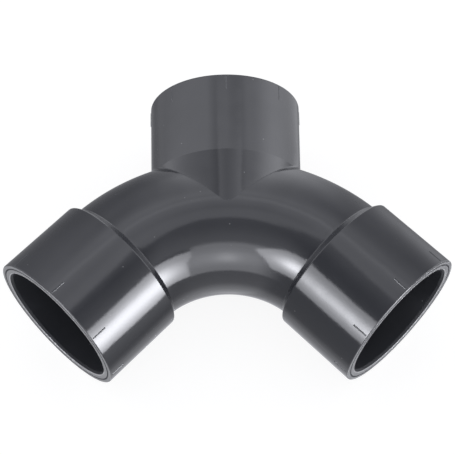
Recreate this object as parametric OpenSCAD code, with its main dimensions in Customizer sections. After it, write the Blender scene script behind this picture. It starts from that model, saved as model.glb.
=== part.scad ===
// Swept wye fitting for glued rigid-plastic pressure pipe, moulded in one piece.
// Two sockets leave the ends of a long-sweep bend, and a third sits on the outside of the bend.
// The axes of the three sockets cross at the origin, in the plane z = 0.
// The rear socket opens along +Y, and the front sockets open forward and outward.

/* [Pipe] */
// Outside diameter of the pipe that the sockets take
pipe_d = 63; // [50:1:75]
// Play between the pipe and the socket wall, on the diameter
socket_play = 0.3; // [0.1:0.05:0.6]
// Depth of each socket, from its mouth to the stop for the pipe
socket_depth = 38; // [30:1:46]

/* [Sockets] */
// Wall of a socket at its mouth
socket_wall = 5.85; // [5:0.05:8]
// Loss of outer radius from the mouth of a socket to its shoulder
socket_draft = 0.3; // [0.1:0.05:1]
// Depth of the conical lead-in at each mouth
lead_in_depth = 1.5; // [0.5:0.1:3]
// Gain of radius of the lead-in at the mouth face
lead_in_rise = 0.85; // [0.3:0.05:1.5]
// Rounding of the outer edge of a mouth
rim_round = 0.6; // [0.2:0.1:1.5]
// Rounding of the edge where a front socket turns into its shoulder
shoulder_round = 0.8; // [0.2:0.1:2]
// Slope of the shoulder of a front socket, measured from its axis
shoulder_slope = 51; // [35:1:60]
// Length of the collar past the stop in a front socket
front_backing = 5; // [3:0.5:9]
// Length of the collar past the stop in the rear socket
rear_backing = 3; // [2:0.5:6]

/* [Bend] */
// Width of the ledge in a socket that stops the pipe
stop_ledge = 2.9; // [2:0.1:4]
// Wall of the bend
bend_wall = 4.75; // [3.5:0.05:5.5]
// Radius of the centre line of the bend
bend_r = 76; // [70:1:100]
// Angle between a front socket and the line of the rear socket
front_angle = 45; // [40:1:50]
// Straight run from the end of the bend to the stop of a front socket
front_straight = 3; // [1:0.5:20]
// Distance from the centre line of the bend to the mouth of the rear socket
rear_rise = 65; // [60:0.5:80]
// How much smaller the radius of the rear socket is than that of the bend where its taper ends
taper_step = 0.5; // [0.2:0.1:1.5]
// How much smaller the radius of the straight bores is than that of the bend's bore
neck_step = 0.05; // [0.05:0.05:1]

/* [Alignment marks] */
// Number of marks round each mouth
mark_count = 8; // [4:4:12]
// Length of a mark
mark_length = 7.4; // [4:0.1:12]
// Width of a mark where it meets the socket
mark_width = 0.55; // [0.4:0.05:1]
// Height of a mark above the socket
mark_height = 0.2; // [0.1:0.05:0.4]
// Gap between the mouth face and a mark
mark_gap = 1.1; // [0.8:0.1:3]

/* [Hidden] */
$fn = 128;
// Steps of a rounded edge in a turned profile
round_steps = 6;
// Depth that a shoulder runs on below the skin of the bend, so that the two join cleanly
root_sink = 2;
// Length by which the taper of the rear socket runs on past the centre line of the bend
taper_lap = 5;
// Length by which a straight bore runs on into the socket and into the bend
neck_lap = 1;
// Length by which the room in a socket runs out past the mouth face, so that the mouth is cut cleanly
mouth_lap = 1;

socket_bore_r = (pipe_d + socket_play) / 2;
mouth_r = socket_bore_r + socket_wall;
shoulder_r = mouth_r - socket_draft;
passage_r = socket_bore_r - stop_ledge;
bend_tube_r = passage_r + bend_wall;

front_collar = socket_depth + front_backing;
rear_collar = socket_depth + rear_backing;
// Distance from the origin to the two ends of the bend, along the front axes
bend_end = bend_r / tan(front_angle);
front_reach = bend_end + front_straight + socket_depth;
// Distance from the origin forward to the centre of the bend, and to its centre line
bend_centre = bend_r / sin(front_angle);
bend_apex = bend_centre - bend_r;
rear_reach = rear_rise - bend_apex;

// Radius of the round bar whose top stands out of the socket as a mark
mark_bar_r = (pow(mark_width / 2, 2) + pow(mark_height, 2)) / (2 * mark_height);

// Points of a round corner of radius r that is cut from a corner at c.
// a and b are the directions of the outward normals of the sides before and after it.
function rounded(c, r, a, b) =
    let (centre = c - r * [cos(a) + cos(b), sin(a) + sin(b)] / (1 + cos(b - a)))
    [for (i = [0:round_steps]) let (t = a + (b - a) * i / round_steps) centre + r * [cos(t), sin(t)]];

// Angle at which the side of a collar of length len leans
function lean(len) = atan(socket_draft / len);

// Start of a socket's half section, as [radius, distance from the mouth]: its face and its round rim
function rim_section(len) = concat([[0, 0]], rounded([mouth_r, 0], rim_round, -90, lean(len)));

// Half section of a front socket, whose short shoulder ends below the skin of the bend
function front_section() =
    let (root_r = bend_tube_r - root_sink)
    let (root_depth = front_collar + (shoulder_r - root_r) / tan(shoulder_slope))
    let (corner = [shoulder_r, front_collar])
    concat(
        rim_section(front_collar),
        rounded(corner, shoulder_round, lean(front_collar), shoulder_slope),
        [[root_r, root_depth], [0, root_depth]]
    );

// Half section of the rear socket, whose long taper ends inside the bend
function rear_section() =
    let (taper_end = rear_rise + taper_lap)
    concat(
        rim_section(rear_collar),
        [[shoulder_r, rear_collar], [bend_tube_r - taper_step, taper_end], [0, taper_end]]
    );

// Puts a turned shape, drawn with its mouth at z = 0 and its depth along +Z, at a mouth.
// turn is the direction that the mouth faces, and reach is its distance from the origin.
module at_mouth(turn, reach) {
    rotate([0, 0, turn])
        translate([reach, 0, 0])
            rotate([0, -90, 0])
                children();
}

module each_front_mouth() {
    for (side = [-1, 1])
        at_mouth(-90 + side * front_angle, front_reach)
            children();
}

module rear_mouth() {
    at_mouth(90, rear_reach)
        children();
}

// Solid ring segment that follows the centre line of the bend
module bend_tube(r) {
    translate([0, -bend_centre, 0])
        rotate([0, 0, front_angle])
            rotate_extrude(angle = 180 - 2 * front_angle)
                translate([bend_r, 0])
                    circle(r = r);
}

module socket_solid(section) {
    rotate_extrude()
        polygon(section);
}

// One round-backed bar along the socket wall for each mark
module marks() {
    for (i = [0:mark_count - 1])
        rotate([0, 0, i * 360 / mark_count])
            translate([mouth_r + mark_height - mark_bar_r, 0, mark_gap])
                cylinder(h = mark_length, r = mark_bar_r);
}

// Half section of the room for a pipe, from past the mouth through the conical lead-in to the stop
function room_section() =
    let (lead_in_r = socket_bore_r + lead_in_rise)
    [
        [0, -mouth_lap],
        [lead_in_r, -mouth_lap],
        [lead_in_r, 0],
        [socket_bore_r, lead_in_depth],
        [socket_bore_r, socket_depth],
        [0, socket_depth]
    ];

module socket_room() {
    rotate_extrude()
        polygon(room_section());
}

// Straight bore of length len, from just above the stop of a socket
module neck_bore(len) {
    translate([0, 0, socket_depth - neck_lap])
        cylinder(h = len, r = passage_r - neck_step);
}

module outside() {
    bend_tube(bend_tube_r);
    each_front_mouth() {
        socket_solid(front_section());
        marks();
    }
    rear_mouth() {
        socket_solid(rear_section());
        marks();
    }
}

module flow_passage() {
    bend_tube(passage_r);
    rear_mouth() {
        socket_room();
        neck_bore(rear_rise - socket_depth + neck_lap);
    }
    each_front_mouth() {
        socket_room();
        neck_bore(front_straight + 2 * neck_lap);
    }
}

module wye_body() {
    color("#4b4c50")
        difference() {
            outside();
            flow_passage();
        }
}

wye_body();
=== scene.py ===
import math

import bmesh
import bpy
import numpy as np
from mathutils import Matrix, Vector


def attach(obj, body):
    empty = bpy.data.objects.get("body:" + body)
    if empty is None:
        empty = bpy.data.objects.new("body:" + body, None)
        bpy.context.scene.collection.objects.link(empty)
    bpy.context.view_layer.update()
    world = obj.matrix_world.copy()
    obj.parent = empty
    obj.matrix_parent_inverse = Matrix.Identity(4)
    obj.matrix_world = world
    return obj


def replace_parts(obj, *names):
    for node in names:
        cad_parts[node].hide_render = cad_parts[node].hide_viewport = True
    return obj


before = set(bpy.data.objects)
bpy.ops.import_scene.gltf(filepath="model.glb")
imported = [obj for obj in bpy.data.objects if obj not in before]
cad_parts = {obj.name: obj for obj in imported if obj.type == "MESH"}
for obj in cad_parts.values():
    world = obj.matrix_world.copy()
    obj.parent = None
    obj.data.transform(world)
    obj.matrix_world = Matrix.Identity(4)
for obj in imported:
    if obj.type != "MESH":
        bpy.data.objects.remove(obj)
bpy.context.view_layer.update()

MM = 0.001

# Sizes of the fitting in millimetres, as in its CAD source.
BORE_R = 31.65
MOUTH_R = 37.5
SHOULDER_R = 37.2
PASSAGE_R = 28.75
TUBE_R = 33.5
SOCKET_DEPTH = 38.0
FRONT_COLLAR = 43.0
REAR_COLLAR = 41.0
FRONT_REACH = 117.0
BEND_R = 76.0
CENTRE_Y = -BEND_R * math.sqrt(2.0)
REAR_RISE = 65.0
REAR_REACH = REAR_RISE + CENTRE_Y + BEND_R
SLOPE = math.radians(51.0)
TAPER_END = REAR_RISE + 5.0
TAPER_END_R = TUBE_R - 0.5
TAPER = math.atan((SHOULDER_R - TAPER_END_R) / (TAPER_END - REAR_COLLAR))
LEAD_DEPTH = 1.5
LEAD_R = BORE_R + 0.85
RIM_ROUND = 0.6
SHOULDER_ROUND = 0.8
MARK_COUNT = 8
MARK_LENGTH = 7.4
MARK_HEIGHT = 0.2
MARK_GAP = 1.1

# The marks are wider than in the CAD source, so that they show in a picture.
MARK_WIDTH = 0.8

# The line in the face of each mouth, a shallow groove which only the skin has, coloured dark as painted
# shade.
FACE_LINE_R = 35.15
FACE_LINE_WIDTH = 0.85
FACE_LINE_DEPTH = 0.14

# Roundings that only the skin has, each as its length from the corner to either end.
# The crease beside the rear socket is rounded a little at its top and more at its sides.
CREASE_RUN = 0.12
CREASE_SIDE_RUN = 2.6
CREASE_SIDE_POWER = 6
INNER_CREASE_RUN = 0.8
FOOT_RUN = 0.35
# Largest share of the way to the middle plane that the rounding of a crease takes.
CREASE_SHARE = 0.6

# Depth from the rear mouth at which the search for its crease starts, short of all of it.
CREASE_LEAST_DEPTH = 20.0
# Distance behind a front collar within which its shoulder meets the bend.
FOOT_REACH = 6.0
# Depth at which the skin of the passages starts, behind the rounded edge of the stop.
PASSAGE_START = SOCKET_DEPTH + 0.4

# Steps of the skin's grid.
EVEN_COLUMNS = 128
BEND_ROWS = 40
TAPER_ROWS = 5
RIM_STEPS = 6
FRONT_SHOULDER_STEPS = 5
REAR_SHOULDER_STEPS = 2
OUTER_ROUNDING_ROWS = 4
INNER_ROUNDING_ROWS = 2
HALVINGS = 50
# Columns beside the middle of a mark, as shares of half its width.
MARK_COLUMNS = (0.3, 0.6, 0.85, 1.0, 1.4)

# Distances in metres within which points of the skin are joined, and edges count as having no length.
WELD = 2e-6
NO_LENGTH = 1e-6

# Turn about the bend's centre between the middle of the bend and either end.
BEND_END = math.pi / 4
# Parts along X and Y of a direction halfway between them.
DIAGONAL = math.sqrt(0.5)
UP = np.array((0.0, 0.0, 1.0))
# Each leg: the way its mouth faces, the side where its column angles start, and its reach from the origin.
FRONT_LEG = (np.array((DIAGONAL, -DIAGONAL, 0.0)), np.array((DIAGONAL, DIAGONAL, 0.0)), FRONT_REACH)
REAR_LEG = (np.array((0.0, 1.0, 0.0)), np.array((1.0, 0.0, 0.0)), REAR_REACH)

# Finishes, each as its name, its darker and lighter colour, its least and greatest roughness,
# the height in millimetres of the slight wave in its surface, and its specular level.
FINISHES = (
    ("charcoal_plastic", (0.0415, 0.043, 0.0485, 1), (0.0485, 0.05, 0.0565, 1), 0.07, 0.12, 0.1, 0.5),
    # Painted sheen: the mouths' faces are coloured light in place of the gloss they catch.
    ("face_painted_sheen", (0.215, 0.217, 0.223, 1), (0.265, 0.267, 0.273, 1), 0.36, 0.46, 0.02, 0.5),
    # Painted shade: the near-black colour of the line in each face and of the lead-in inside it.
    ("face_line_painted_shade", (0.02, 0.021, 0.024, 1), (0.03, 0.031, 0.034, 1), 0.5, 0.6, 0.02, 0.15),
    # Painted highlight: the edge inside each face is coloured near white for the light it reflects.
    ("inner_edge_painted_highlight", (0.52, 0.523, 0.53, 1), (0.58, 0.583, 0.59, 1), 0.34, 0.42, 0.02, 0.5),
    ("marks", (0.045, 0.047, 0.053, 1), (0.055, 0.057, 0.063, 1), 0.2, 0.24, 0.01, 0.5),
    # Painted shade: the bores and passages are coloured darker than the moulded plastic.
    ("bore_painted_shade", (0.03, 0.0315, 0.036, 1), (0.038, 0.0395, 0.044, 1), 0.3, 0.4, 0.02, 0.12),
)
MOULDED, FACE, LINE, EDGE, MARK, INSIDE = range(len(FINISHES))
# Width of the painted highlight on the edge inside a mouth's face, and the distance from the skin of a
# passage within which a face has the finish of the inside, with its painted shade.
INNER_EDGE_WIDTH = 0.3
INSIDE_MARGIN = 0.5

# What all finishes share. Scales are in waves or cells per metre.
IOR = 1.5
FLOW_SCALE = 38
GRAIN_SCALE = 900
SWELL_SCALE = 70
SPECK_SCALE = 120
# Sizes of a speck with and without its soft edge, as parts of a cell.
SPECK_EDGE = 0.045
SPECK_CORE = 0.03
SPECK_COLOUR = (0.16, 0.16, 0.165, 1)
GRAIN_HEIGHT = 0.004

# Floor and backdrop, in metres. For the camera the floor is white near the fitting and pale grey
# further out, like the backdrop, so that bright gloss stands out from both.
FLOOR_Z = -(MOUTH_R + MARK_HEIGHT) * MM
FLOOR_HALF = 3
WHITE_RADIUS = 0.2
GREY_RADIUS = 0.42
WHITE_LEVEL = 1.04
GREY_LEVEL = 0.76
# The floor's own light for all other rays.
FLOOR_BOUNCE = 0.3
# Share of the room's light that the floor gives back, which the fitting's shadow takes away.
SHADOW_SHARE = 0.2

# Strength of the studio's light for matt surfaces, and the tint of all its light.
MATT_LIGHT = 0.8
LIGHT_TINT = (0.975, 0.985, 1.04, 1)
WHITE = (1, 1, 1, 1)

# Camera, fitted to the photograph's outlines. Angles are in degrees.
ELEVATION = 64.684
AZIMUTH = -2.182
ROLL = 1.415
DISTANCE = 914.06 * MM
TARGET = Vector((0.3217, -31.94, 0.0)) * MM
LENS = 146.7
SENSOR_WIDTH = 36
VIEW_END = 20


def column_angles():
    """Angles of the columns round each tube in radians, from -90 to 270 degrees.

    They are evenly spread, with narrow columns added at the alignment marks.
    """
    half_mark = math.degrees(MARK_WIDTH / 2 / MOUTH_R)
    angles = [-90.0 + i * (360.0 / EVEN_COLUMNS) for i in range(EVEN_COLUMNS)]
    for i in range(MARK_COUNT):
        middle = -90.0 + i * (360.0 / MARK_COUNT)
        for share in MARK_COLUMNS:
            angles += [middle - half_mark * share, middle + half_mark * share]
    return np.radians(sorted((a + 90.0) % 360.0 - 90.0 for a in angles))


PHI = column_angles()
# Columns from -90 to 90 degrees, which on the bend are those on its outside.
OUTER = np.flatnonzero(PHI <= math.pi / 2 + 1e-9)
# Distance of each column from the middle of the nearest mark, as an angle.
MARK_TURN = 2 * math.pi / MARK_COUNT
MARK_OFFSET = (PHI + MARK_TURN / 2) % MARK_TURN - MARK_TURN / 2


def ring(leg, depth, radius, angles):
    """Points round a leg: depth runs in from its mouth, and the angles turn from its side towards +Z."""
    axis, side, reach = leg
    depth = np.broadcast_to(depth, angles.shape)[:, None]
    radius = np.broadcast_to(radius, angles.shape)[:, None]
    around = np.cos(angles)[:, None] * side + np.sin(angles)[:, None] * UP
    return axis * reach - axis * depth + radius * around


def bend_point(turn, phi, r):
    """Points on a tube that follows the bend: turn runs about the bend's centre from +Y towards +X."""
    out = BEND_R + r * np.cos(phi)
    return np.stack([out * np.sin(turn), CENTRE_Y + out * np.cos(turn), r * np.sin(phi)], -1)


def bend_angles(p, near):
    """The two angles on the bend of points near its skin, the second as the turn nearest to a given angle."""
    from_centre = np.hypot(p[..., 0], p[..., 1] - CENTRE_Y)
    phi = np.arctan2(p[..., 2], from_centre - BEND_R)
    whole_turns = np.round((near - phi) / (2 * math.pi))
    return np.arctan2(p[..., 0], p[..., 1] - CENTRE_Y), phi + 2 * math.pi * whole_turns


def bend_height(p, r):
    """Distance of points from a tube of radius r that follows the bend, below zero inside it."""
    from_centre = np.hypot(p[..., 0], p[..., 1] - CENTRE_Y)
    return np.hypot(from_centre - BEND_R, p[..., 2]) - r


def meeting_depth(place, profile, low, high):
    """Depth where each column of a turned form meets the bend's skin, by halving between two depths."""
    for _ in range(HALVINGS):
        middle = (low + high) / 2
        inside = bend_height(place(middle, profile(middle)), TUBE_R) < 0
        low, high = np.where(inside, low, middle), np.where(inside, middle, high)
    return low


def rounding_rows(start, corner, end, count):
    """Rows of points on a curve that rounds a corner from start to end, without its ends."""
    shares = np.linspace(0, 1, count + 2)[1:-1]
    return [(1 - t) ** 2 * start + 2 * t * (1 - t) * corner + t * t * end for t in shares]


def bend_rows(start, end, r, shares):
    """Rows on a tube along the bend, at shares of the way between two lines given by their two angles."""
    start_turn, start_phi = start
    end_turn, end_phi = end
    rows = []
    for t in shares:
        turn = start_turn + (end_turn - start_turn) * t
        phi = start_phi + (end_phi - start_phi) * t
        rows.append(bend_point(turn, phi, r))
    return rows


def arc(centre_r, centre_d, radius, start, end, steps):
    """Stations (radius, depth) of an arc. Its angles, in degrees, are those of its outward normal."""
    return [(centre_r + radius * math.cos(t), centre_d - radius * math.sin(t))
            for t in np.radians(np.linspace(start, end, steps + 1))]


def face_stations():
    """Stations (radius, depth) of a mouth's cut face with the groove of its line, which is coloured dark as
    painted shade, from the rim inward.
    """
    half = FACE_LINE_WIDTH / 2
    return [
        (MOUTH_R - RIM_ROUND - 0.12, 0.0),
        (FACE_LINE_R + half + 0.1, 0.0),
        (FACE_LINE_R + half, 0.0),
        (FACE_LINE_R + half * 0.4, FACE_LINE_DEPTH * 0.8),
        (FACE_LINE_R, FACE_LINE_DEPTH),
        (FACE_LINE_R - half * 0.4, FACE_LINE_DEPTH * 0.8),
        (FACE_LINE_R - half, 0.0),
        (FACE_LINE_R - half - 0.1, 0.0),
        (LEAD_R + 0.35, 0.0),
        (LEAD_R + 0.2, 0.0),
    ]


def room_stations():
    """Stations (radius, depth) of the room for the pipe: lead-in, wall, stop and start of the passage."""
    return [
        (LEAD_R + 0.08, 0.03),
        (LEAD_R - 0.02, 0.12),
        (LEAD_R - 0.13, 0.3),
        (BORE_R + 0.1, LEAD_DEPTH - 0.15),
        (BORE_R, LEAD_DEPTH + 0.05),
        (BORE_R, LEAD_DEPTH + 0.3),
        (BORE_R, 14.0),
        (BORE_R, 26.0),
        (BORE_R, SOCKET_DEPTH - 0.3),
        (BORE_R, SOCKET_DEPTH - 0.05),
        (BORE_R - 0.05, SOCKET_DEPTH),
        (BORE_R - 0.3, SOCKET_DEPTH),
        (PASSAGE_R + 0.35, SOCKET_DEPTH),
        (PASSAGE_R + 0.15, SOCKET_DEPTH + 0.03),
        (PASSAGE_R + 0.03, SOCKET_DEPTH + 0.15),
        (PASSAGE_R, PASSAGE_START),
    ]


def collar_stations(length, slope, shoulder_steps):
    """Stations of a collar, from the cone behind it out to the mouth and in to the passage.

    Each is its radius, its depth and its share of the marks' height. Stations that lie close
    together keep the shading crisp where two forms meet.
    """
    draft = (MOUTH_R - SHOULDER_R) / length
    corner = length - SHOULDER_ROUND * math.tan(slope / 2)
    turn = -math.degrees(slope)
    shoulder = arc(SHOULDER_R - SHOULDER_ROUND, corner, SHOULDER_ROUND, turn, 0, shoulder_steps)
    cone_run = 0.17
    cone = (shoulder[0][0] - cone_run * math.sin(slope), shoulder[0][1] + cone_run * math.cos(slope))
    rim = arc(MOUTH_R - RIM_ROUND, RIM_ROUND, RIM_ROUND, 0, 90, RIM_STEPS)

    def plain(stations):
        return [(r, d, 0.0) for r, d in stations]

    def side(depths, mark_share):
        """Stations on the collar's side, which leans with its draft."""
        return [(MOUTH_R - draft * d, d, mark_share) for d in depths]

    back, front = MARK_GAP + MARK_LENGTH, MARK_GAP
    behind_marks = (
        corner - 0.15,
        corner * 0.7 + back * 0.3,
        corner * 0.35 + back * 0.65,
        back + 0.5,
        back + 0.25,
    )
    at_marks = (back - 0.02, back - 0.3, (back + front) / 2, front + 0.3, front + 0.02)
    before_marks = (front - 0.2, RIM_ROUND + 0.12)
    return (
        plain([cone] + shoulder)
        + side(behind_marks, 0.0)
        + side(at_marks, 1.0)
        + side(before_marks, 0.0)
        + plain(rim + face_stations() + room_stations())
    )


def marked(radius, share, offset):
    """Radius of a collar row with its alignment marks, as narrow round-backed ribs."""
    across = np.clip(1 - (offset * MOUTH_R / (MARK_WIDTH / 2)) ** 2, 0, None)
    raised = radius + share * (MOUTH_R - radius + MARK_HEIGHT) * across
    return np.where(across > 0, np.maximum(radius, raised), radius)


def front_rows(outer_end, inner_end):
    """Rows of the right front leg: from the end of the bend's skin to the mouth, and back by the passage."""
    def place(depth, radius):
        return ring(FRONT_LEG, depth, radius, PHI)

    def cone(depth):
        """Radius of the shoulder's cone at a depth."""
        return SHOULDER_R - (depth - FRONT_COLLAR) * math.tan(SLOPE)

    foot_depth = meeting_depth(place, cone, FRONT_COLLAR, FRONT_COLLAR + FOOT_REACH)
    foot = place(foot_depth, cone(foot_depth))
    foot_turn, foot_phi = bend_angles(foot, PHI)
    top_depth = foot_depth - FOOT_RUN * math.cos(SLOPE)
    top = place(top_depth, cone(top_depth))
    start_turn = foot_turn - FOOT_RUN / (BEND_R + TUBE_R * np.cos(foot_phi))

    rows = bend_rows((start_turn, foot_phi), outer_end, TUBE_R, np.linspace(1, 0, BEND_ROWS + 1))
    rows += rounding_rows(rows[-1], foot, top, OUTER_ROUNDING_ROWS) + [top]
    for radius, depth, share in collar_stations(FRONT_COLLAR, SLOPE, FRONT_SHOULDER_STEPS):
        rows.append(place(depth, marked(radius, share, MARK_OFFSET)))
    rows += bend_rows((BEND_END, PHI), inner_end, PASSAGE_R, np.linspace(0, 1, BEND_ROWS + 1))
    return np.array(rows)


def rear_rows():
    """Rows of the rear leg's right half: from its crease with the bend to the mouth, and in to the inner one.

    The angles where the bend's columns end, outside and inside, are returned with them.
    """
    phi = PHI[OUTER]
    cos_phi = np.cos(phi)

    def place(depth, radius):
        return ring(REAR_LEG, depth, radius, phi)

    def profile(depth):
        """Outer radius at a depth, on the collar or on the taper behind it."""
        on_collar = MOUTH_R - (MOUTH_R - SHOULDER_R) * depth / REAR_COLLAR
        on_taper = SHOULDER_R - (depth - REAR_COLLAR) * math.tan(TAPER)
        return np.where(depth < REAR_COLLAR, on_collar, on_taper)

    crease_depth = meeting_depth(place, profile, CREASE_LEAST_DEPTH, TAPER_END)
    crease = place(crease_depth, profile(crease_depth))
    crease_turn, crease_phi = bend_angles(crease, phi)
    wanted_run = CREASE_RUN + CREASE_SIDE_RUN * cos_phi ** CREASE_SIDE_POWER
    run = np.minimum(wanted_run, CREASE_SHARE * TUBE_R * cos_phi)
    top_depth = crease_depth - run
    top = place(top_depth, profile(top_depth))
    end_turn = crease_turn + run / (BEND_R + TUBE_R * np.cos(crease_phi))
    # The columns at the top and bottom of the crease end in the middle plane itself.
    end_turn = np.where(cos_phi < 1e-6, 0.0, end_turn)
    start = bend_point(end_turn, crease_phi, TUBE_R)
    rows = [start] + rounding_rows(start, crease, top, OUTER_ROUNDING_ROWS) + [top]

    taper_start = np.minimum(REAR_COLLAR + 0.5, top_depth)
    for t in np.linspace(1 / TAPER_ROWS, 1, TAPER_ROWS):
        depth = top_depth + (taper_start - top_depth) * t
        rows.append(place(depth, profile(depth)))
    for radius, depth, share in collar_stations(REAR_COLLAR, TAPER, REAR_SHOULDER_STEPS):
        # Outside, a station that would lie past the crease is held at its rounding.
        is_outside = depth > CREASE_LEAST_DEPTH and radius > TUBE_R
        held = np.minimum(depth, top_depth) if is_outside else depth
        radius = np.where(held < depth, profile(held), radius)
        rows.append(place(held, marked(radius, share, MARK_OFFSET[OUTER])))

    # The passages have one radius, so their inner crease is found without a search.
    across = PASSAGE_R * cos_phi
    inner_depth = REAR_REACH - CENTRE_Y - np.sqrt((BEND_R + across) ** 2 - across ** 2)
    inner_run = np.minimum(INNER_CREASE_RUN, CREASE_SHARE * across)
    for t in (0.25, 0.5, 0.75, 1.0):
        rows.append(place(PASSAGE_START + (inner_depth - inner_run - PASSAGE_START) * t, PASSAGE_R))
    inner_crease = place(inner_depth, PASSAGE_R)
    inner_turn = np.arcsin(across / (BEND_R + across)) + inner_run / (BEND_R + across)
    inner_end = bend_point(inner_turn, phi, PASSAGE_R)
    rows += rounding_rows(rows[-1], inner_crease, inner_end, INNER_ROUNDING_ROWS) + [inner_end]
    return np.array(rows), (end_turn, crease_phi), (inner_turn, phi)


def full_ends(ends):
    """Angles where all columns of the bend end, from those of the columns on its outside.

    The columns on its inside end in the middle plane, evenly spread.
    """
    top_phi = ends[1][-1]
    turn = np.zeros(PHI.shape)
    phi = math.pi + (PHI - math.pi) * (math.pi - top_phi) / (math.pi / 2)
    turn[OUTER], phi[OUTER] = ends
    return turn, phi


def grid_faces(rows, columns, first, closed):
    """Quads between neighbouring rows and columns of a grid whose points start at index first."""
    faces = []
    for row in range(rows - 1):
        here = first + row * columns
        there = here + columns
        for column in range(columns if closed else columns - 1):
            beside = (column + 1) % columns
            faces.append((here + column, here + beside, there + beside, there + column))
    return faces


def build_skin():
    """The whole fitting as one closed mesh, made of a right half and its mirror image."""
    rear, outer_end, inner_end = rear_rows()
    front = front_rows(full_ends(outer_end), full_ends(inner_end))
    points, faces = [], []
    for grid, closed in ((front, True), (rear, False)):
        for sign in (1, -1):
            first = sum(len(p) for p in points)
            new = grid_faces(grid.shape[0], grid.shape[1], first, closed)
            faces += new if sign > 0 else [face[::-1] for face in new]
            points.append(grid.reshape(-1, 3) * (sign, 1, 1) * MM)
    mesh = bpy.data.meshes.new("wye_skin")
    mesh.from_pydata(np.concatenate(points).tolist(), [], faces)
    bm = bmesh.new()
    bm.from_mesh(mesh)
    bmesh.ops.remove_doubles(bm, verts=bm.verts, dist=WELD)
    bmesh.ops.dissolve_degenerate(bm, edges=bm.edges, dist=NO_LENGTH)
    bmesh.ops.recalc_face_normals(bm, faces=bm.faces)
    for face in bm.faces:
        face.smooth = True
    bm.to_mesh(mesh)
    bm.free()
    obj = bpy.data.objects.new("wye_skin", mesh)
    bpy.context.scene.collection.objects.link(obj)
    return obj


def mix(tree, fac, low, high):
    """A colour or number that runs from low to high as fac runs from 0 to 1. low may be a node's output."""
    node = tree.nodes.new("ShaderNodeMix")
    if isinstance(high, tuple):
        node.data_type = "RGBA"
        start, end, result = node.inputs[6], node.inputs[7], node.outputs[2]
    else:
        node.data_type = "FLOAT"
        start, end, result = node.inputs[2], node.inputs[3], node.outputs[0]
    tree.links.new(fac, node.inputs["Factor"])
    if isinstance(low, (tuple, float)):
        start.default_value = low
    else:
        tree.links.new(low, start)
    end.default_value = high
    return result


def map_range(tree, value, low, high, interpolation="LINEAR"):
    """A node that runs from 0 to 1 as value runs from low to high."""
    node = tree.nodes.new("ShaderNodeMapRange")
    node.interpolation_type = interpolation
    node.inputs["From Min"].default_value = low
    node.inputs["From Max"].default_value = high
    tree.links.new(value, node.inputs["Value"])
    return node


def noise(tree, coord, scale, detail, low, high):
    """Noise in the object's own coordinates, spread so that it is 0 at low and 1 at high."""
    node = tree.nodes.new("ShaderNodeTexNoise")
    node.inputs["Scale"].default_value = scale
    node.inputs["Detail"].default_value = detail
    tree.links.new(coord, node.inputs["Vector"])
    return map_range(tree, node.outputs["Fac"], low, high).outputs["Result"]


def bump(tree, height, distance):
    """A node that raises the surface by height, up to a distance in millimetres."""
    node = tree.nodes.new("ShaderNodeBump")
    node.inputs["Distance"].default_value = distance * MM
    tree.links.new(height, node.inputs["Height"])
    return node


def plastic(name, dark, light, smooth, rough, wave, specular):
    """Moulded plastic: faint flow marks in its colour, uneven gloss and a slight wave in its surface."""
    mat = bpy.data.materials.new(name)
    mat.use_nodes = True
    tree = mat.node_tree
    shader = tree.nodes["Principled BSDF"]
    coord = tree.nodes.new("ShaderNodeTexCoord").outputs["Object"]
    shader.inputs["IOR"].default_value = IOR
    shader.inputs["Specular IOR Level"].default_value = specular
    flow = noise(tree, coord, FLOW_SCALE, detail=3, low=0.3, high=0.7)
    grain = noise(tree, coord, GRAIN_SCALE, detail=2, low=0.3, high=0.7)
    # A few grains of dust and lighter pigment.
    cells = tree.nodes.new("ShaderNodeTexVoronoi")
    cells.inputs["Scale"].default_value = SPECK_SCALE
    tree.links.new(coord, cells.inputs["Vector"])
    speck = map_range(tree, cells.outputs["Distance"], SPECK_EDGE, SPECK_CORE).outputs["Result"]
    base = mix(tree, speck, mix(tree, flow, dark, light), SPECK_COLOUR)
    tree.links.new(base, shader.inputs["Base Color"])
    tree.links.new(mix(tree, grain, smooth, rough), shader.inputs["Roughness"])
    swell = bump(tree, noise(tree, coord, SWELL_SCALE, detail=1, low=0.0, high=1.0), wave)
    fine = bump(tree, grain, GRAIN_HEIGHT)
    tree.links.new(swell.outputs["Normal"], fine.inputs["Normal"])
    tree.links.new(fine.outputs["Normal"], shader.inputs["Normal"])
    return mat


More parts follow.
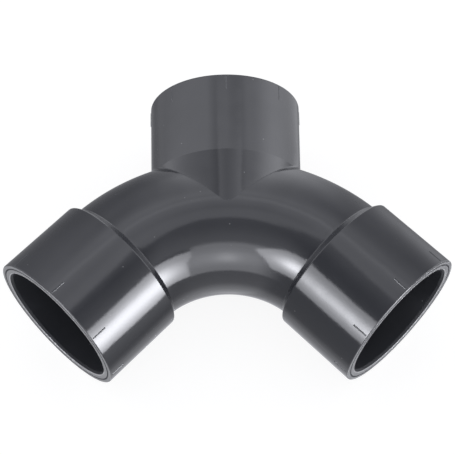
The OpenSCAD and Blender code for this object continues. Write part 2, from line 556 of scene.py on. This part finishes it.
def finish_numbers(mesh):
    """Number of each face's finish, by where the middle of the face lies."""
    centres = np.empty(len(mesh.polygons) * 3)
    mesh.polygons.foreach_get("center", centres)
    centres = centres.reshape(-1, 3) / MM
    finish = np.full(len(centres), MOULDED, np.int32)
    x, y, z = centres.T
    on_bend = np.abs(np.arctan2(x, y - CENTRE_Y)) < BEND_END
    # Faces inside the passages take the inside's darker colour, which is painted shade.
    finish[on_bend & (bend_height(centres, PASSAGE_R) < INSIDE_MARGIN)] = INSIDE
    finish[(np.hypot(x, z) < PASSAGE_R + INSIDE_MARGIN) & (y > CENTRE_Y + BEND_R)] = INSIDE
    # The small numbers from here on are margins between the bounds of a finish and its faces.
    for axis, reach in (
        ((0, 1, 0), REAR_REACH),
        ((DIAGONAL, -DIAGONAL, 0), FRONT_REACH),
        ((-DIAGONAL, -DIAGONAL, 0), FRONT_REACH),
    ):
        along = centres @ np.array(axis)
        depth = reach - along
        radius = np.sqrt(np.maximum((centres ** 2).sum(1) - along ** 2, 0))
        in_room = radius < LEAD_R - 0.05
        # Faces inside each socket take the inside's darker colour, which is painted shade.
        finish[in_room & (depth < SOCKET_DEPTH + 4)] = INSIDE
        # The lead-in takes the line's near-black colour as painted shade.
        finish[in_room & (depth < LEAD_DEPTH + 0.2)] = LINE
        near_mouth = depth < 0.3
        on_face = near_mouth & (radius > LEAD_R - 0.1)
        # The faces of the mouths take a light colour as painted sheen.
        finish[on_face & (radius < MOUTH_R - RIM_ROUND * 0.6)] = FACE
        finish[near_mouth & (np.abs(radius - FACE_LINE_R) < FACE_LINE_WIDTH / 2)] = LINE
        # The edge inside each face takes a near-white colour as a painted highlight.
        finish[on_face & (radius < LEAD_R + INNER_EDGE_WIDTH)] = EDGE
        proud = radius > MOUTH_R - (MOUTH_R - SHOULDER_R) * depth / REAR_COLLAR + 0.02
        beside_marks = (depth > MARK_GAP - 0.25) & (depth < MARK_GAP + MARK_LENGTH + 0.3)
        finish[beside_marks & proud] = MARK
    return finish


def dress(mesh):
    """Gives each face its finish, and makes the edges between different finishes sharp."""
    for finish in FINISHES:
        mesh.materials.append(plastic(*finish))
    mesh.polygons.foreach_set("material_index", finish_numbers(mesh))
    bm = bmesh.new()
    bm.from_mesh(mesh)
    for edge in bm.edges:
        if len({face.material_index for face in edge.link_faces}) > 1:
            edge.smooth = False
    bm.to_mesh(mesh)
    bm.free()


def floor_material():
    """White for the camera near the fitting and pale grey further out, with a matt share for the shadow."""
    mat = bpy.data.materials.new("floor_white")
    mat.use_nodes = True
    tree = mat.node_tree
    tree.nodes.remove(tree.nodes["Principled BSDF"])
    coord = tree.nodes.new("ShaderNodeTexCoord")
    distance = tree.nodes.new("ShaderNodeVectorMath")
    distance.operation = "LENGTH"
    tree.links.new(coord.outputs["Object"], distance.inputs[0])
    # What the matt share gives back in full light is taken off both levels.
    fade = map_range(tree, distance.outputs["Value"], WHITE_RADIUS, GREY_RADIUS, "SMOOTHSTEP")
    fade.inputs["To Min"].default_value = WHITE_LEVEL - SHADOW_SHARE * MATT_LIGHT
    fade.inputs["To Max"].default_value = GREY_LEVEL - SHADOW_SHARE * MATT_LIGHT
    path = tree.nodes.new("ShaderNodeLightPath")
    own_light = map_range(tree, path.outputs["Is Camera Ray"], 0, 1)
    own_light.inputs["To Min"].default_value = FLOOR_BOUNCE
    tree.links.new(fade.outputs["Result"], own_light.inputs["To Max"])
    emit = tree.nodes.new("ShaderNodeEmission")
    emit.inputs["Color"].default_value = WHITE
    tree.links.new(own_light.outputs["Result"], emit.inputs["Strength"])
    matt = tree.nodes.new("ShaderNodeBsdfDiffuse")
    matt.inputs["Color"].default_value = (SHADOW_SHARE, SHADOW_SHARE, SHADOW_SHARE, 1)
    both = tree.nodes.new("ShaderNodeAddShader")
    tree.links.new(emit.outputs["Emission"], both.inputs[0])
    tree.links.new(matt.outputs["BSDF"], both.inputs[1])
    tree.links.new(both.outputs["Shader"], tree.nodes["Material Output"].inputs["Surface"])
    return mat


def lay_floor():
    """A wide floor under the fitting, which glossy surfaces don't mirror."""
    corners = [(x * FLOOR_HALF, y * FLOOR_HALF, FLOOR_Z) for x, y in ((-1, -1), (1, -1), (1, 1), (-1, 1))]
    mesh = bpy.data.meshes.new("floor")
    mesh.from_pydata(corners, [], [(0, 1, 2, 3)])
    mesh.materials.append(floor_material())
    floor = bpy.data.objects.new("floor", mesh)
    bpy.context.scene.collection.objects.link(floor)
    floor.visible_glossy = False


def place_camera():
    """The camera, turned about its target and then rolled."""
    el, az, roll = (math.radians(a) for a in (ELEVATION, AZIMUTH, ROLL))
    back = Vector((math.sin(az) * math.cos(el), -math.cos(az) * math.cos(el), math.sin(el)))
    level = Vector((math.cos(az), math.sin(az), 0))
    rise = level.cross(-back)
    right = level * math.cos(roll) + rise * math.sin(roll)
    up = rise * math.cos(roll) - level * math.sin(roll)
    turn = Matrix((right, up, back)).transposed().to_4x4()
    data = bpy.data.cameras.new("camera")
    data.lens = LENS
    data.sensor_width = SENSOR_WIDTH
    data.clip_end = VIEW_END
    camera = bpy.data.objects.new("camera", data)
    camera.matrix_world = Matrix.Translation(TARGET + back * DISTANCE) @ turn
    bpy.context.scene.collection.objects.link(camera)
    bpy.context.scene.camera = camera
    bpy.context.scene.view_settings.view_transform = "Standard"


class Graph:
    """Short forms for the maths nodes of the studio's light."""

    def __init__(self, tree):
        self.tree = tree

    def math(self, operation, *values):
        node = self.tree.nodes.new("ShaderNodeMath")
        node.operation = operation
        for socket, value in zip(node.inputs, values):
            if isinstance(value, (int, float)):
                socket.default_value = value
            else:
                self.tree.links.new(value, socket)
        return node.outputs[0]

    def total(self, *values):
        result = values[0]
        for value in values[1:]:
            result = self.math("ADD", result, value)
        return result

    def product(self, *values):
        result = values[0]
        for value in values[1:]:
            result = self.math("MULTIPLY", result, value)
        return result

    def above(self, value, low):
        """How far value is above low, and 0 below it."""
        return self.math("MAXIMUM", self.total(value, -low), 0.0)

    def ramp(self, value, low, high):
        """0 below low and 1 above high, with a smooth step between them."""
        return map_range(self.tree, value, low, high, "SMOOTHSTEP").outputs["Result"]

    def fall(self, value, low, high):
        """1 below low and 0 above high."""
        return self.math("SUBTRACT", 1.0, self.ramp(value, low, high))

    def span(self, value, low, high, soft):
        """1 between low and high, with soft ends."""
        start = self.ramp(value, low - soft, low + soft)
        end = self.fall(value, high - soft, high + soft)
        return self.product(start, end)

    def spot(self, x, y, at, size, strength):
        """A round soft spot, as strong as given in its middle."""
        dx = self.math("DIVIDE", self.math("SUBTRACT", x, at[0]), size[0])
        dy = self.math("DIVIDE", self.math("SUBTRACT", y, at[1]), size[1])
        squares = self.total(self.product(dx, dx), self.product(dy, dy))
        return self.product(self.math("EXPONENT", self.product(squares, -1.0)), strength)


def sky_angles(g):
    """Angles of a direction in degrees: from straight up, that angle's parts to the right and back,
    and the bearing.
    """
    coord = g.tree.nodes.new("ShaderNodeTexCoord")
    split = g.tree.nodes.new("ShaderNodeSeparateXYZ")
    g.tree.links.new(coord.outputs["Generated"], split.inputs[0])
    dx, dy, dz = split.outputs
    degrees = 180 / math.pi
    top = g.product(g.math("ARCCOSINE", dz), degrees)
    level = g.math("MAXIMUM", g.math("SQRT", g.total(g.product(dx, dx), g.product(dy, dy))), 1e-4)
    east = g.math("DIVIDE", g.product(top, dx), level)
    north = g.math("DIVIDE", g.product(top, dy), level)
    # The bearing is 0 at the front and grows to the right.
    bearing = g.product(g.math("ARCTAN2", dx, g.product(dy, -1.0)), degrees)
    return top, east, north, bearing


def softboxes(g, top, bearing):
    """Light of the two softboxes and the front panel between them, each brighter in its middle.

    Their sides and sizes are angles in degrees, set so that the gloss lies as it does in the photograph.
    """
    # The right softbox is 40 degrees wide. Its left side leans a little, from bearing 28 to 32.
    right_edge = g.total(28.0, g.product(g.ramp(top, 66, 78), 4.0))
    past_edge = g.math("SUBTRACT", bearing, right_edge)
    right = g.product(g.span(past_edge, 0, 40, soft=1.5), g.span(top, 58, 102.5, soft=2))
    right_light = g.total(4.8, g.spot(bearing, top, at=(60, 82), size=(20, 13.5), strength=16.5))
    # The left softbox hangs tilted, so its top and its right side slant.
    upper_edge = g.total(46.0, g.product(g.above(bearing, -40.0), 0.6))
    left_edge = g.total(-19.0, g.product(g.above(top, 59.0), -0.52))
    left = g.product(
        g.ramp(g.math("SUBTRACT", top, upper_edge), -2, 2),
        g.fall(top, 84.5, 88.5),
        g.ramp(bearing, -80, -74),
        g.fall(g.math("SUBTRACT", bearing, left_edge), -1.5, 1.5),
    )
    left_light = g.total(4.0, g.spot(bearing, top, at=(-49, 66.5), size=(13.5, 9.8), strength=17.0))
    front = g.product(
        g.ramp(bearing, -46, -18),
        g.fall(past_edge, -1.5, 1.5),
        g.ramp(top, 48, 56),
        g.fall(top, 101.5, 106),
    )
    front_light = g.total(
        2.1,
        g.spot(bearing, top, at=(5, 77), size=(45, 15), strength=1.6),
        g.spot(bearing, top, at=(1.5, 79.5), size=(9, 8), strength=1.8),
    )
    return g.total(
        g.product(right, right_light),
        g.product(left, left_light),
        g.product(front, front_light),
    )


def room(g, top, east, north, bearing):
    """Faint light of the room: the panel overhead, the pale walls and the table below.

    Like the softboxes, its parts lie at angles in degrees.
    """
    # Light that grows from overhead down to the top of the front panel.
    rise = g.product(
        g.ramp(bearing, -66, -40),
        g.fall(bearing, 50, 68),
        g.ramp(top, 18, 54),
        g.fall(top, 50, 58),
        g.fall(north, -14, -8),
    )
    # The part of the room under the front panel.
    below = g.product(g.ramp(top, 102, 107), g.ramp(bearing, -45, -25), g.fall(bearing, 20, 75))
    # The white table shows further up towards the front than towards the back.
    table_start = g.total(130.0, g.product(g.ramp(g.math("ABSOLUTE", bearing), 95, 125), 14.0))
    table = g.ramp(g.math("SUBTRACT", top, table_start), 0, 20)

    def patch(strength, east_span, north_span):
        """A patch of light. Each span is given by its two ends and the softness of its ends."""
        return g.product(g.span(east, *east_span), g.span(north, *north_span), strength)

    def spot(strength, at, size):
        """A round spot of light, or of shade where its strength is below zero."""
        return g.spot(east, north, at, size, strength)

    return g.total(
        0.3,
        g.product(rise, 0.6),
        g.product(below, 0.4),
        g.product(table, 0.45),
        # The panel overhead, and the strip that runs from it to the back.
        patch(0.9, (-11.5, 22, 2.5), (-9.4, 28, 3)),
        patch(1.2, (-11, 12, 13), (29, 87, 9)),
        # Bands from overhead to the left and to the right.
        patch(2.3, (-101, -13, 13), (18, 32, 21)),
        patch(2.5, (20, 91, 15), (12, 34, 22)),
        # The walls on the right, at the back, and at the back on the left.
        patch(1.3, (53, 103, 18), (-53, 96, 30)),
        patch(1.3, (-14, 34, 17), (65, 118, 27)),
        patch(0.7, (-106, -21, 8), (22, 61, 28)),
        # Uneven light overhead.
        spot(0.45, at=(0, 30), size=(13, 9)),
        spot(-0.25, at=(0, 9.5), size=(8, 5)),
        spot(-0.28, at=(-30, -10), size=(14, 14)),
        spot(-0.2, at=(30, -8), size=(6, 8)),
        # Light low at the back, which the crease beside the rear socket mirrors.
        spot(0.8, at=(-74, 70), size=(15, 15)),
        spot(0.5, at=(74, 70), size=(13, 15)),
    )


def studio_light():
    """The backdrop's pale grey for the camera, even light for matt surfaces, and softboxes for the gloss."""
    world = bpy.data.worlds.new("studio")
    bpy.context.scene.world = world
    world.use_nodes = True
    world.cycles.sampling_method = "NONE"
    g = Graph(world.node_tree)
    top, east, north, bearing = sky_angles(g)
    gloss = g.total(softboxes(g, top, bearing), room(g, top, east, north, bearing))
    path = g.tree.nodes.new("ShaderNodeLightPath")
    is_camera, is_glossy = path.outputs["Is Camera Ray"], path.outputs["Is Glossy Ray"]
    lit = g.total(g.product(is_glossy, g.math("SUBTRACT", gloss, MATT_LIGHT)), MATT_LIGHT)
    strength = g.total(g.product(is_camera, g.math("SUBTRACT", GREY_LEVEL, lit)), lit)
    background = g.tree.nodes["Background"]
    g.tree.links.new(strength, background.inputs["Strength"])
    g.tree.links.new(mix(g.tree, is_camera, LIGHT_TINT, WHITE), background.inputs["Color"])


skin = build_skin()
dress(skin.data)
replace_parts(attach(skin, "root"), "wye_body")

lay_floor()
place_camera()
studio_light()
